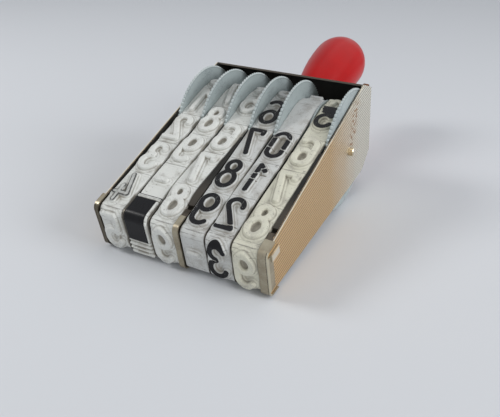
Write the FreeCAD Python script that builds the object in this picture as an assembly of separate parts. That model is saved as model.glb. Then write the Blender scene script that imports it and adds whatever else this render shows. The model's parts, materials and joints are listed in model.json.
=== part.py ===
import FreeCAD, Part
import os
from math import acos, asin, atan2, cos, hypot, pi, radians, sin, tan

# A hand stamp with six rubber number bands. Sizes are in millimetres.
# Every piece is drawn with the stamp standing on its print face: X runs along the axle,
# the front is -Y, Z rises from the print face to the handle. At the end the whole stamp
# is laid back on the rims of its wheels and its rear print edge, as it lies when put down.

# Wheels and axle
wheel_count = 6
wheel_height = 108.2
disc_radius = 36.0
disc_thickness = 1.3
tooth_count = 90
tooth_depth = 0.9
hub_radius = 23.7
hub_wall = 2.0
boss_radius = 5.5
spoke_count = 6
spoke_thickness = 1.6
spoke_set_back = 2.0
far_flange_radius = 26.7
far_flange_thickness = 0.8
wheel_gap = 0.1
axle_radius = 2.5
axle_overhang = 3.0
axle_chamfer = 0.4
axle_running_fit = 0.05
washer_radius = 7.0
left_washer_thickness = 0.8
right_washer_thickness = 0.7
washer_play = 0.1

# Rubber number bands
band_width = 13.7
band_side_clearance = 0.25
band_hub_clearance = 0.3
base_thickness = 1.6
type_height = 2.2
type_root = 0.3
type_width = 11.6
type_draft = 0.8
dash_length = 5.0
stroke_width = 3.2
# half the height between the middle lines of a character's top and bottom strokes
stroke_reach = 9.3
bowl_radius = 3.9
bowl_middle = stroke_reach - bowl_radius
bowl_step = 45.0
stroke_end_share = 0.85
positions = 12
dash_position = 10
blank_position = 11
# from left to right: the character that each band has turned to the print face, how far
# the band is turned past it, and how far the band wanders sideways half way up
set_characters = [5, 11, 9, 10, 3, 9]
band_turns = [0.0, -11.5, 0.0, 0.0, -1.5, 0.0]
band_bows = [0.0, -0.7, -1.9, -0.2, -0.9, -0.1]

# Bridge that the bands run round, and what stands beside them there
bridge_half_depth = 11.8
bridge_corner = 2.2
bridge_top = 14.0
bridge_sheet = 1.2
bridge_band_clearance = 0.2
print_stand_out = 1.3
# the gap on the left of each band at the bridge, the first one to the side plate
bridge_gaps = [1.05, 2.3, 1.7, 3.9, 0.6, 0.6]
left_divider_thickness = 0.8
right_divider_thickness = 0.3
divider_recess = 2.0
divider_top = 13.0
divider_clearance = 0.1
fan_start = 12.0
fan_middle = 27.0
fan_end = 72.0

# Frame: one knurled sheet bent into a U, with a flange down each chamfer
frame_sheet = 1.0
frame_bend_radius = 1.5
foot_recess = 2.4
foot_corner = 3.0
flare_angle = radians(7.4)
chamfer_angle = radians(32.0)
top_clearance = 1.3
chamfer_clearance = 1.5
front_shoulder_radius = 1.2
rear_shoulder_radius = 6.0

# Straps round the foot of the frame
strap_sheet = 0.8
strap_rise = 9.0
strap_band_clearance = 0.4
strap_flange_height = 5.2
strap_flange_inset = 2.5
tab_rise = 6.0
tab_width = 4.0

# Guide plates inside the bands
guide_sheet = 0.8
guide_band_clearance = 0.4
guide_start = 16.5
guide_disc_gap = 1.0
guide_flange = 8.0
rib_recess = 1.8
rib_clearance = 0.4
rib_foot_gap = 1.0

# Handle
handle_offset = 4.0
stud_radius = 2.5
stud_head_radius = 6.0
stud_head_thickness = 0.8
stud_length = 40.0
stud_clearance = 0.1
collar_height = 5.0
collar_radius = 10.5
collar_chamfer = 1.0
knob_length = 78.4
knob_radius = 18.8
knob_end_length = 22.6
knob_tip_radius = 16.0
knob_neck_radius = 8.5
knob_bore_end_gap = 1.0

# Rivets at the right-hand corners of the top
rivet_head_radius = 1.9
rivet_head_height = 1.2
rivet_shank_radius = 1.1
rivet_tail = 0.5
rivet_clearance = 0.05
rivet_from_side = 2.7
rivet_from_top = 4.0

# What follows from those sizes
hub_width = band_width + 2 * band_side_clearance
wheel_pitch = disc_thickness + hub_width + wheel_gap
last_wheel_width = far_flange_thickness + hub_width + disc_thickness
plate_gap = (left_washer_thickness + washer_play + (wheel_count - 1) * wheel_pitch
             + last_wheel_width + washer_play + right_washer_thickness)
inner_x = plate_gap / 2
outer_x = inner_x + frame_sheet
band_thickness = base_thickness + type_height
type_length = 2 * stroke_reach + stroke_width
loop_half_depth = bridge_half_depth + bridge_band_clearance
loop_bottom = band_thickness - print_stand_out
bridge_bottom = loop_bottom + bridge_band_clearance
loop_corner = bridge_corner + bridge_band_clearance
loop_hub_radius = hub_radius + band_hub_clearance
foot_half_depth = loop_half_depth + band_thickness - foot_recess
foot_z = strap_sheet
top_z = wheel_height + disc_radius + top_clearance + frame_sheet
chamfer_reach = disc_radius + chamfer_clearance + frame_sheet
top_half_depth = (chamfer_reach - (top_z - wheel_height) * sin(chamfer_angle)) / cos(chamfer_angle)
# lengths that only have to reach past what they cut
far = 200.0
cut_margin = 1.0
# how closely an edge's place has to match to be the one meant
tolerance = 0.001


def point(x, y, z):
    return FreeCAD.Vector(x, y, z)


def polygon_face(corners, x):
    """Flat face at x with straight sides through the (y, z) corners."""
    points = [point(x, y, z) for y, z in corners]
    return Part.Face(Part.makePolygon(points + points[:1]))


def rounded_face(corners, x):
    """Flat face at x through (y, z, radius) corners, each rounded by its radius."""
    bends = []
    count = len(corners)
    for index in range(count):
        y, z, radius = corners[index]
        before = corners[index - 1]
        after = corners[(index + 1) % count]
        to_before = point(0, before[0] - y, before[1] - z).normalize()
        to_after = point(0, after[0] - y, after[1] - z).normalize()
        half_angle = to_before.getAngle(to_after) / 2
        corner = point(x, y, z)
        reach = radius / tan(half_angle)
        middle = (to_before + to_after).normalize()
        through = corner + middle * (radius / sin(half_angle) - radius)
        bends.append((corner + to_before * reach, through, corner + to_after * reach))
    edges = []
    for index in range(count):
        start, through, end = bends[index]
        if corners[index][2] > 0:
            edges.append(Part.Arc(start, through, end).toShape())
        next_start = bends[(index + 1) % count][0]
        edges.append(Part.LineSegment(end, next_start).toShape())
    return Part.Face(Part.Wire(edges))


def extrude_x(face, length):
    return face.extrude(point(length, 0, 0))


def cylinder_x(radius, x_start, x_end, y=0.0, z=wheel_height):
    return Part.makeCylinder(radius, x_end - x_start, point(x_start, y, z), point(1, 0, 0))


def box_between(x_start, x_end, y_start, y_end, z_start, z_end):
    size = (x_end - x_start, y_end - y_start, z_end - z_start)
    return Part.makeBox(*size, point(x_start, y_start, z_start))


def fuse_all(shapes):
    result = shapes[0]
    for shape in shapes[1:]:
        result = result.fuse(shape)
    return result.removeSplitter()


# The path of a band: over the hub, down both sides, round the bridge

corner_y = loop_half_depth - loop_corner
corner_z = loop_bottom + loop_corner
side_span = hypot(corner_y, wheel_height - corner_z)
side_angle = (atan2(wheel_height - corner_z, corner_y)
              - acos((loop_hub_radius - loop_corner) / side_span))
neutral = base_thickness / 2
side_length = (side_span ** 2 - (loop_hub_radius - loop_corner) ** 2) ** 0.5
corner_arc = (loop_corner + neutral) * (pi / 2 - side_angle)
hub_arc = (loop_hub_radius + neutral) * (pi + 2 * side_angle)
loop_length = 2 * corner_y + 2 * corner_arc + 2 * side_length + hub_arc
type_pitch = loop_length / positions


def on_circle(centre_y, centre_z, radius, angle):
    return (centre_y + radius * cos(angle), centre_z + radius * sin(angle))


def path_point(travel, height):
    """Point (y, z) at a travel along the band from the middle of the print face, and at a
    height above its inner surface. Positive travel goes up the rear side, negative up the front."""
    side = 1 if travel >= 0 else -1
    rest = abs(travel)
    if rest > loop_length / 2:
        return path_point(travel - side * loop_length, height)
    if rest <= corner_y:
        return (side * rest, loop_bottom - height)
    rest -= corner_y
    if rest <= corner_arc:
        angle = -pi / 2 + rest / (loop_corner + neutral)
        y, z = on_circle(corner_y, corner_z, loop_corner + height, angle)
        return (side * y, z)
    rest -= corner_arc
    if rest <= side_length:
        y, z = on_circle(corner_y, corner_z, loop_corner + height, -side_angle)
        return (side * (y + rest * sin(side_angle)), z + rest * cos(side_angle))
    rest -= side_length
    angle = -side_angle + rest / (loop_hub_radius + neutral)
    y, z = on_circle(0, wheel_height, loop_hub_radius + height, angle)
    return (side * y, z)


def loop_wire(height, x):
    """Closed wire at x, parallel to the band's inner surface and a height outside it."""
    hub = loop_hub_radius + height
    corner = loop_corner + height

    def hub_point(angle):
        y, z = on_circle(0, wheel_height, hub, angle)
        return point(x, y, z)

    def corner_point(side, angle):
        y, z = on_circle(corner_y, corner_z, corner, angle)
        return point(x, side * y, z)

    corner_middle = -(side_angle + pi / 2) / 2
    hub_rear = hub_point(-side_angle)
    hub_front = hub_point(pi + side_angle)
    rear_top = corner_point(1, -side_angle)
    rear_low = corner_point(1, -pi / 2)
    front_top = corner_point(-1, -side_angle)
    front_low = corner_point(-1, -pi / 2)
    edges = [
        Part.Arc(hub_rear, hub_point(pi / 2), hub_front),
        Part.LineSegment(hub_front, front_top),
        Part.Arc(front_top, corner_point(-1, corner_middle), front_low),
        Part.LineSegment(front_low, rear_low),
        Part.Arc(rear_low, corner_point(1, corner_middle), rear_top),
        Part.LineSegment(rear_top, hub_rear),
    ]
    return Part.Wire([edge.toShape() for edge in edges])


def loop_ring(inner_height, outer_height, x):
    """Flat ring at x between two heights above the band's inner surface."""
    return Part.Face(loop_wire(outer_height, x)).cut(Part.Face(loop_wire(inner_height, x)))


# Where each wheel and band stands across the stamp

first_disc_x = -inner_x + left_washer_thickness + washer_play


def wheel_start(index):
    """Left face of the wheel: its disc, or the far flange of the last wheel."""
    return first_disc_x + index * wheel_pitch


def band_x_at_wheel(index):
    if index == wheel_count - 1:
        return wheel_start(index) + far_flange_thickness + hub_width / 2
    return wheel_start(index) + disc_thickness + hub_width / 2


def band_x_at_bridge(index):
    return -inner_x + sum(bridge_gaps[:index + 1]) + band_width * (index + 0.5)


def band_line(index, offset):
    """X of a line along the band, beside its middle: at the bridge, part way up, at the wheels."""
    foot = band_x_at_bridge(index) + offset
    top = band_x_at_wheel(index) + offset
    share = (fan_middle - fan_start) / (fan_end - fan_start)
    return (foot, foot + (top - foot) * share + band_bows[index], top)


def fan_prism(left, right):
    """Block between two lines that shift sideways between the bridge and the wheels."""
    heights = (fan_start, fan_middle, fan_end)
    left_side = [(left[0], -far)] + list(zip(left, heights)) + [(left[-1], far)]
    right_side = [(right[0], -far)] + list(zip(right, heights)) + [(right[-1], far)]
    points = [point(x, -far, z) for x, z in left_side + right_side[::-1]]
    face = Part.Face(Part.makePolygon(points + points[:1]))
    return face.extrude(point(0, 2 * far, 0))


def band_prism(index, width):
    return fan_prism(band_line(index, -width / 2), band_line(index, width / 2))


def type_face(travel, length, x):
    """Side view of one type block: drafted ends, root sunk in the base of the band."""
    wide = length / 2 + type_draft
    narrow = length / 2
    root = base_thickness - type_root
    slope = (wide - narrow) / (band_thickness - root)
    past = band_thickness
    over = narrow - slope * past
    outline = [
        path_point(travel - wide, root),
        path_point(travel, root),
        path_point(travel + wide, root),
        path_point(travel + over, band_thickness + past),
        path_point(travel, band_thickness + 2 * past),
        path_point(travel - over, band_thickness + past),
    ]
    return loop_ring(root, band_thickness, x).common(polygon_face(outline, x))


def wraps_corner(travel, length):
    """Whether a type goes round a whole corner of the bridge."""
    near = abs(travel) - length / 2
    return near < corner_y + corner_arc / 2 and near + length > corner_y + corner_arc and abs(travel) > corner_y


def type_places(index):
    """Travel, length and character of each type on a band."""
    places = []
    for step in range(positions):
        character = (set_characters[index] + step) % positions
        if character != blank_position:
            length = dash_length if character == dash_position else type_length
            travel = step * type_pitch + band_turns[index]
            if travel > loop_length / 2:
                travel -= loop_length
            places.append((travel, length, character))
    return places


def bowl(x, y, radius, start, end):
    """Points (x, y) of an arc between two angles in degrees."""
    steps = max(2, round(abs(end - start) / bowl_step))
    points = []
    for step in range(steps + 1):
        angle = radians(start + (end - start) * step / steps)
        points.append(on_circle(x, y, radius, angle))
    return points


def character_strokes(character):
    """Middle lines of a character's strokes and whether each is closed, with the character
    upright and its middle at the origin."""
    top = stroke_reach
    wide = bowl_radius
    middle = bowl_middle
    if character == 0:
        return [(bowl(0, middle, wide, 0, 180) + bowl(0, -middle, wide, 180, 360), True)]
    if character == 1:
        return [([(1.2, -top), (1.2, top)], False), ([(1.2, top), (-2.6, middle)], False)]
    if character == 2:
        return [(bowl(0, middle, wide, 190, -28) + [(-wide, -top)], False),
                ([(-wide, -top), (wide, -top)], False)]
    if character == 3:
        return [(bowl(0, middle, wide, 165, -75), False), (bowl(0, -middle, wide, 78, -165), False)]
    if character == 4:
        return [([(0.8, top), (-wide, -4.2)], False), ([(-wide, -4.2), (wide, -4.2)], False),
                ([(1.6, 1.0), (1.6, -top)], False)]
    if character == 5:
        return [([(3.5, top), (-2.8, top)], False), ([(-2.8, top), (-3.2, 0.4)], False),
                (bowl(0, -middle, wide, 128, -155), False)]
    if character == 6:
        return [(bowl(0, -middle, wide, 0, 360), True),
                ([(-wide, -middle)] + bowl(0, middle, wide, 180, 35), False)]
    if character == 7:
        return [([(-3.7, 7.0), (-3.7, top)], False), ([(-3.7, top), (wide, top)], False),
                ([(wide, top), (-1.2, -top)], False)]
    if character == 8:
        return [(bowl(0, middle, wide, 0, 360), True), (bowl(0, -middle, wide, 0, 360), True)]
    if character == 9:
        return [(bowl(0, middle, wide, 0, 360), True),
                ([(wide, middle)] + bowl(0, -middle, wide, 0, -145), False)]
    return [([(-2.4, 0), (2.4, 0)], False)]


def stroke_sides(points, closed):
    """Points on either side of a middle line, half a stroke's width off it."""
    half = stroke_width / 2
    line = []
    for place in points:
        if not line or hypot(place[0] - line[-1][0], place[1] - line[-1][1]) > tolerance:
            line.append(place)
    if closed and hypot(line[0][0] - line[-1][0], line[0][1] - line[-1][1]) < tolerance:
        line.pop()
    sides = ([], [])
    for number in range(len(line)):
        here = FreeCAD.Vector(*line[number])
        before = FreeCAD.Vector(*line[number - 1]) if closed or number > 0 else None
        after = FreeCAD.Vector(*line[(number + 1) % len(line)]) if closed or number < len(line) - 1 else None
        into = (here - before).normalize() if before else (after - here).normalize()
        away = (after - here).normalize() if after else into
        across = FreeCAD.Vector(-into.y - away.y, into.x + away.x).normalize()
        reach = half / across.dot(FreeCAD.Vector(-into.y, into.x))
        if before is None:
            here = here - away * half * stroke_end_share
        if after is None:
            here = here + into * half * stroke_end_share
        sides[0].append(here + across * reach)
        sides[1].append(here - across * reach)
    return sides


def band_x_at(index, z):
    """X of a band's middle at a height."""
    foot, middle, top = band_line(index, 0)
    if z < fan_middle:
        share = min(1, max(0, (z - fan_start) / (fan_middle - fan_start)))
        return foot + (middle - foot) * share
    share = min(1, (z - fan_middle) / (fan_end - fan_middle))
    return middle + (top - middle) * share


def character_prism(index, travel, character):
    """The strokes of a mirrored character as prisms square to the band at its middle."""
    y, z = path_point(travel, 0)
    top_y, top_z_here = path_point(travel, band_thickness)
    outwards = point(0, top_y - y, top_z_here - z).normalize()
    along = point(1, 0, 0).cross(outwards)
    next_y, next_z = path_point(travel + tolerance, 0)
    if along.dot(point(0, next_y - y, next_z - z)) < 0:
        along = -along
    middle = point(0, y, z)
    start = -outwards * band_thickness

    def placed(place):
        face_y, face_z = path_point(travel - place.y, band_thickness)
        step = along.dot(point(0, face_y, face_z) - middle)
        return middle + start + along * step + point(band_x_at(index, face_z) - place.x, 0, 0)

    def flat(places):
        corners = [placed(place) for place in places]
        return Part.Face(Part.makePolygon(corners + corners[:1]))

    prisms = []
    for points, closed in character_strokes(character):
        left, right = stroke_sides(points, closed)
        if closed:
            faces = sorted((flat(left), flat(right)), key=lambda face: face.Area)
            shape = faces[1].cut(faces[0])
        else:
            shape = flat(left + right[::-1])
        prisms.append(shape.extrude(outwards * 3 * band_thickness))
    return prisms


def number_band(index):
    x_start = min(band_x_at_bridge(index), band_x_at_wheel(index)) - band_width
    x_length = 3 * band_width
    base = extrude_x(loop_ring(0, base_thickness, x_start), x_length).common(band_prism(index, band_width))
    types = []
    for travel, length, character in type_places(index):
        block = extrude_x(type_face(travel, length, x_start), x_length)
        if wraps_corner(travel, length):
            types.append(block.common(band_prism(index, type_width)))
        else:
            prisms = character_prism(index, travel, character)
            strokes = prisms[0].multiFuse(prisms[1:]) if len(prisms) > 1 else prisms[0]
            types.append(block.common(strokes))
    return base.fuse(types).removeSplitter()


def toothed_disc(x):
    """Disc with pointed teeth, one of which points at the surface the stamp lies on."""
    corners = []
    for tooth in range(tooth_count):
        tip = floor_angle + 2 * pi * tooth / tooth_count
        corners.append(on_circle(0, wheel_height, disc_radius, tip))
        corners.append(on_circle(0, wheel_height, disc_radius - tooth_depth, tip + pi / tooth_count))
    return extrude_x(polygon_face(corners, x), disc_thickness)


def wheel(index):
    """Moulded wheel: toothed disc, drum for the band, spokes and boss for the axle."""
    start = wheel_start(index)
    last = index == wheel_count - 1
    if last:
        hub_start = start + far_flange_thickness
        disc_x = hub_start + hub_width
        open_start = start
        open_end = disc_x
    else:
        hub_start = start + disc_thickness
        disc_x = start
        open_start = hub_start
        open_end = hub_start + hub_width
    drum = cylinder_x(hub_radius, hub_start, hub_start + hub_width)
    pieces = [toothed_disc(disc_x), drum]
    if last:
        pieces.append(cylinder_x(far_flange_radius, start, hub_start))
    body = fuse_all(pieces)
    body = body.cut(cylinder_x(hub_radius - hub_wall, open_start, open_end))
    spoke_start = open_start + spoke_set_back if last else open_start
    spoke_end = open_end if last else open_end - spoke_set_back
    inside = [cylinder_x(boss_radius, open_start, open_end)]
    spoke_reach = hub_radius - hub_wall / 2
    for spoke in range(spoke_count):
        arm = box_between(spoke_start, spoke_end, 0, spoke_reach, -spoke_thickness / 2, spoke_thickness / 2)
        arm.rotate(point(0, 0, 0), point(1, 0, 0), 360.0 * spoke / spoke_count)
        arm.translate(point(0, 0, wheel_height))
        inside.append(arm)
    body = fuse_all([body] + inside)
    bore_radius = axle_radius + axle_running_fit
    return body.cut(cylinder_x(bore_radius, start - cut_margin, start + last_wheel_width + cut_margin))


def axle():
    reach = outer_x + axle_overhang
    rod = cylinder_x(axle_radius, -reach, reach)
    ends = [edge for edge in rod.Edges if abs(abs(edge.CenterOfMass.x) - reach) < tolerance]
    return rod.makeChamfer(axle_chamfer, ends)


def washer(x_start, thickness):
    ring = cylinder_x(washer_radius, x_start, x_start + thickness)
    hole = axle_radius + axle_running_fit
    return ring.cut(cylinder_x(hole, x_start - cut_margin, x_start + thickness + cut_margin))


def shoulder():
    """Where the flared edge of a side plate meets its chamfer."""
    foot_y = foot_half_depth - foot_z * tan(flare_angle)
    reach = chamfer_reach + wheel_height * sin(chamfer_angle) - foot_y * cos(chamfer_angle)
    z = reach / (sin(chamfer_angle) + tan(flare_angle) * cos(chamfer_angle))
    return (foot_y + z * tan(flare_angle), z)


def side_plate_face(x):
    y, z = shoulder()
    return rounded_face([
        (-foot_half_depth, foot_z, foot_corner),
        (foot_half_depth, foot_z, foot_corner),
        (y, z, rear_shoulder_radius),
        (top_half_depth, top_z, 0),
        (-top_half_depth, top_z, 0),
        (-y, z, front_shoulder_radius),
    ], x)


def chamfer_point(side, from_top, depth):
    """Point on a chamfer, from_top along it and depth below its outer surface."""
    y = top_half_depth + from_top * sin(chamfer_angle) - depth * cos(chamfer_angle)
    z = top_z - from_top * cos(chamfer_angle) - depth * sin(chamfer_angle)
    return (side * y, z)


def frame():
    y, z = shoulder()
    chamfer_length = hypot(y - top_half_depth, top_z - z)
    front_end = chamfer_length - front_shoulder_radius / 2
    rear_end = chamfer_length - rear_shoulder_radius / 2
    inner_corner = top_half_depth - frame_sheet * (1 - sin(chamfer_angle)) / cos(chamfer_angle)
    cap_face = polygon_face([
        chamfer_point(-1, front_end, 0),
        (-top_half_depth, top_z),
        (top_half_depth, top_z),
        chamfer_point(1, rear_end, 0),
        chamfer_point(1, rear_end, frame_sheet),
        (inner_corner, top_z - frame_sheet),
        (-inner_corner, top_z - frame_sheet),
        chamfer_point(-1, front_end, frame_sheet),
    ], -inner_x)
    cap = extrude_x(cap_face, plate_gap)
    left = extrude_x(side_plate_face(-outer_x), frame_sheet)
    right = extrude_x(side_plate_face(inner_x), frame_sheet)
    sheet = fuse_all([left, right, cap])
    bends = []
    for edge in sheet.Edges:
        middle = edge.CenterOfMass
        if abs(abs(middle.x) - outer_x) < tolerance and abs(middle.z - top_z) < tolerance:
            bends.append(edge)
    sheet = sheet.makeFillet(frame_bend_radius, bends)
    axle_hole = cylinder_x(axle_radius + axle_running_fit, -far, far)
    stud_hole = Part.makeCylinder(stud_radius + stud_clearance, far, point(handle_offset, 0, wheel_height))
    sheet = sheet.cut(axle_hole).cut(stud_hole)
    for x, side in rivet_places():
        hole = rivet_shank_radius + rivet_clearance
        sheet = sheet.cut(rivet_cylinder(x, side, hole, -cut_margin, frame_sheet + cut_margin))
    return sheet


def rivet_places():
    return [(outer_x - rivet_from_side, side) for side in (-1, 1)]


def rivet_cylinder(x, side, radius, start, end):
    """Cylinder square to a chamfer, between two depths below its outer surface."""
    y, z = chamfer_point(side, rivet_from_top, start)
    inward = point(0, -side * cos(chamfer_angle), -sin(chamfer_angle))
    return Part.makeCylinder(radius, end - start, point(x, y, z), inward)


def corner_rivets():
    rivets = []
    for x, side in rivet_places():
        head = rivet_cylinder(x, side, rivet_head_radius, -rivet_head_height, 0)
        rim = [edge for edge in head.Edges if edge.CenterOfMass.z > head.CenterOfMass.z + 0.1]
        head = head.makeChamfer(rivet_head_height / 3, rim)
        shank = rivet_cylinder(x, side, rivet_shank_radius, 0, frame_sheet + rivet_tail)
        rivets.append(head.fuse(shank))
    return Part.makeCompound(rivets)


def bar_outline(grow):
    """Cross-section of the bridge's bar, grown outwards, open length upwards."""
    half = bridge_half_depth + grow
    return [
        (-half, bridge_bottom - grow, bridge_corner + grow),
        (half, bridge_bottom - grow, bridge_corner + grow),
        (half, bridge_top, 0),
        (-half, bridge_top, 0),
    ]


def foot_outline(grow, top):
    """Foot of the frame in side view up to a height, grown outwards."""
    half = foot_half_depth + grow
    top_half = half + (top - foot_z) * tan(flare_angle)
    return [
        (-half, foot_z - grow, foot_corner + grow),
        (half, foot_z - grow, foot_corner + grow),
        (top_half, top, 0),
        (-top_half, top, 0),
    ]


def shoulder_spans():
    """Spans along X where the bridge is raised to carry the straps."""
    half = wheel_count // 2
    left_end = band_x_at_bridge(0) - band_width / 2 - strap_band_clearance
    centre_start = band_x_at_bridge(half - 1) + band_width / 2 + strap_band_clearance
    centre_end = band_x_at_bridge(half) - band_width / 2 - strap_band_clearance
    right_start = band_x_at_bridge(wheel_count - 1) + band_width / 2 + strap_band_clearance
    return [(-inner_x, left_end), (centre_start, centre_end), (right_start, inner_x)]


def bridge():
    bar = extrude_x(rounded_face(bar_outline(0), -inner_x), plate_gap)
    inner_half = bridge_half_depth - bridge_sheet
    hollow = box_between(-inner_x, inner_x, -inner_half, inner_half, bridge_bottom + bridge_sheet, far)
    pieces = [bar.cut(hollow)]
    for x_start, x_end in shoulder_spans():
        web = extrude_x(rounded_face(foot_outline(0, bridge_top), x_start), x_end - x_start)
        pieces.append(web)
    return fuse_all(pieces)


def strap_loop(x_start, x_end):
    """Sheet bent round the foot, from the front to the rear."""
    outer = extrude_x(rounded_face(foot_outline(strap_sheet, strap_rise), x_start), x_end - x_start)
    inner = extrude_x(rounded_face(foot_outline(0, bridge_top), x_start), x_end - x_start)
    return outer.cut(inner)


def centre_strap():
    x_start, x_end = shoulder_spans()[1]
    return strap_loop(x_start, x_end)


def end_strap(side):
    """Strap over a side plate's foot, with a flange on its outside and a folded tab."""
    spans = shoulder_spans()
    inside = spans[2][0] if side > 0 else -spans[0][1]
    outside = outer_x + strap_sheet
    x_start, x_end = sorted((side * inside, side * outside))
    loop = strap_loop(x_start, x_end)
    flange_x = sorted((side * outer_x, side * outside))
    half = foot_half_depth - strap_flange_inset
    top = foot_z + strap_flange_height
    flange = box_between(*flange_x, -half, half, foot_z - strap_sheet / 2, top)
    tab_x = sorted((side * outer_x, side * (outside + strap_sheet)))
    tab = box_between(*tab_x, -half, -half + tab_width, top - tab_width / 2, top + tab_rise)
    tab_fold = [edge for edge in tab.Edges if is_tab_fold(edge, top + tab_rise, side * (outside + strap_sheet))]
    tab = tab.makeFillet(strap_sheet, tab_fold)
    return fuse_all([loop, flange, tab])


def is_tab_fold(edge, z, x):
    middle = edge.CenterOfMass
    return abs(middle.z - z) < tolerance and abs(middle.x - x) < tolerance


def band_divider(index):
    """Thin fin between two bands, cut out to sit on the bridge's bar."""
    left = band_x_at_bridge(index) + band_width / 2
    right = band_x_at_bridge(index + 1) - band_width / 2
    in_left_group = index < wheel_count // 2
    thickness = left_divider_thickness if in_left_group else right_divider_thickness
    x = (left + right - thickness) / 2
    whole = Part.Face(loop_wire(band_thickness - divider_recess, x))
    foot = polygon_face([(-far, -far), (far, -far), (far, divider_top), (-far, divider_top)], x)
    fin = extrude_x(whole.common(foot), thickness)
    seat = bar_outline(divider_clearance)
    seat[2] = (seat[2][0], far, 0)
    seat[3] = (seat[3][0], far, 0)
    return fin.cut(extrude_x(rounded_face(seat, x), thickness))


def side_strip(side, start, end, low, high, x_start, x_end):
    """Flat bar along a band's straight side: from start to end of the band's travel, and
    between two heights above the band's inner surface."""
    outline = []
    for travel, height in ((start, low), (end, low), (end, high), (start, high)):
        outline.append(path_point(side * travel, height))
    return extrude_x(polygon_face(outline, x_start), x_end - x_start)


def guide_plate(side):
    """Sheet inside the bands, with end flanges on the side plates and raised ribs in the wide gaps."""
    outside = -guide_band_clearance
    inside = outside - guide_sheet
    flange_low = inside - guide_flange
    start = corner_y + corner_arc + (guide_start - corner_z) / cos(side_angle)
    disc_reach = disc_radius + guide_disc_gap
    end = corner_y + corner_arc + side_length - (disc_reach ** 2 - (loop_hub_radius + flange_low) ** 2) ** 0.5
    pieces = [side_strip(side, start, end, inside, outside, -inner_x, inner_x)]
    for x_start in (-inner_x, inner_x - guide_sheet):
        pieces.append(side_strip(side, start, end, flange_low, outside, x_start, x_start + guide_sheet))
    rib_top = band_thickness - rib_recess
    layer = side_strip(side, start + rib_foot_gap, end, inside, rib_top, -inner_x, inner_x)
    half = wheel_count // 2
    edge = band_width / 2 + rib_clearance
    centre = fan_prism(band_line(half - 1, edge), band_line(half, -edge))
    right = fan_prism(band_line(wheel_count - 1, edge), (inner_x, inner_x, inner_x))
    pieces.append(layer.common(centre))
    pieces.append(layer.common(right))
    return fuse_all(pieces)


def upright_cylinder(radius, z_start, z_end):
    return Part.makeCylinder(radius, z_end - z_start, point(handle_offset, 0, z_start))


def handle_stud():
    under_top = top_z - frame_sheet
    head = upright_cylinder(stud_head_radius, under_top - stud_head_thickness, under_top)
    shank = upright_cylinder(stud_radius, under_top, top_z + collar_height + stud_length)
    return head.fuse(shank)


def handle_collar():
    ring = upright_cylinder(collar_radius, top_z, top_z + collar_height)
    rim = [edge for edge in ring.Edges if edge.CenterOfMass.z > top_z + collar_height - tolerance]
    ring = ring.makeChamfer(collar_chamfer, rim)
    hole = stud_radius + stud_clearance
    return ring.cut(upright_cylinder(hole, top_z - cut_margin, top_z + collar_height + cut_margin))


def handle_knob():
    """Pear-shaped grip of three arcs, turned about the stud."""
    foot = top_z + collar_height
    end = foot + knob_length
    widest = end - knob_end_length
    neck_step = knob_radius - knob_neck_radius
    body_radius = (neck_step ** 2 + (widest - foot) ** 2) / (2 * neck_step)
    tip_z = end - knob_tip_radius
    tip_step = tip_z - widest
    tip_square = knob_radius ** 2 + tip_step ** 2 - knob_tip_radius ** 2
    side_radius = tip_square / (2 * (knob_radius - knob_tip_radius))
    tip_angle = atan2(tip_step, side_radius - knob_radius)

    def arc_point(centre_x, centre_z, radius, angle):
        return point(centre_x + radius * cos(angle), 0, centre_z + radius * sin(angle))

    def arc(centre_x, centre_z, radius, start_angle, end_angle):
        angles = (start_angle, (start_angle + end_angle) / 2, end_angle)
        return Part.Arc(*[arc_point(centre_x, centre_z, radius, angle) for angle in angles]).toShape()

    body_angle = asin((widest - foot) / body_radius)
    profile = Part.Wire([
        arc(knob_radius - body_radius, widest, body_radius, -body_angle, 0),
        arc(knob_radius - side_radius, widest, side_radius, 0, tip_angle),
        arc(0, tip_z, knob_tip_radius, tip_angle, pi / 2),
        Part.LineSegment(point(0, 0, end), point(0, 0, foot)).toShape(),
        Part.LineSegment(point(0, 0, foot), point(knob_neck_radius, 0, foot)).toShape(),
    ])
    knob = Part.Face(profile).revolve(point(0, 0, 0), point(0, 0, 1), 360)
    knob.translate(point(handle_offset, 0, 0))
    hole_end = foot + stud_length + knob_bore_end_gap
    return knob.cut(upright_cylinder(stud_radius + stud_clearance, foot - cut_margin, hole_end))


def rear_rests():
    """Circles (y, z, radius) at the rear of the print end that may touch what the stamp lies
    on: the strap, the bare band, and the ends of type blocks or a block round the corner."""
    rests = [(foot_half_depth - foot_corner, foot_z + foot_corner, foot_corner + strap_sheet),
             (corner_y, corner_z, loop_corner + base_thickness)]
    for index in range(wheel_count):
        for travel, length, _ in type_places(index):
            for edge in (travel - length / 2, travel + length / 2):
                if abs(edge) < loop_length / 4:
                    y, z = path_point(edge, band_thickness)
                    rests.append((y, z, 0.0))
            if travel > 0 and wraps_corner(travel, length):
                rests.append((corner_y, corner_z, loop_corner + band_thickness))
    return rests


def lie_angle():
    """Angle that the stamp's own axis rises at when it lies on its wheels' rims and the first
    thing to touch at the print end."""
    angles = []
    for y, z, radius in rear_rests():
        span = hypot(y, wheel_height - z)
        angles.append(asin((disc_radius - radius) / span) - atan2(y, wheel_height - z))
    return min(angles)


axis_rise = lie_angle()
floor_angle = -axis_rise


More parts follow.
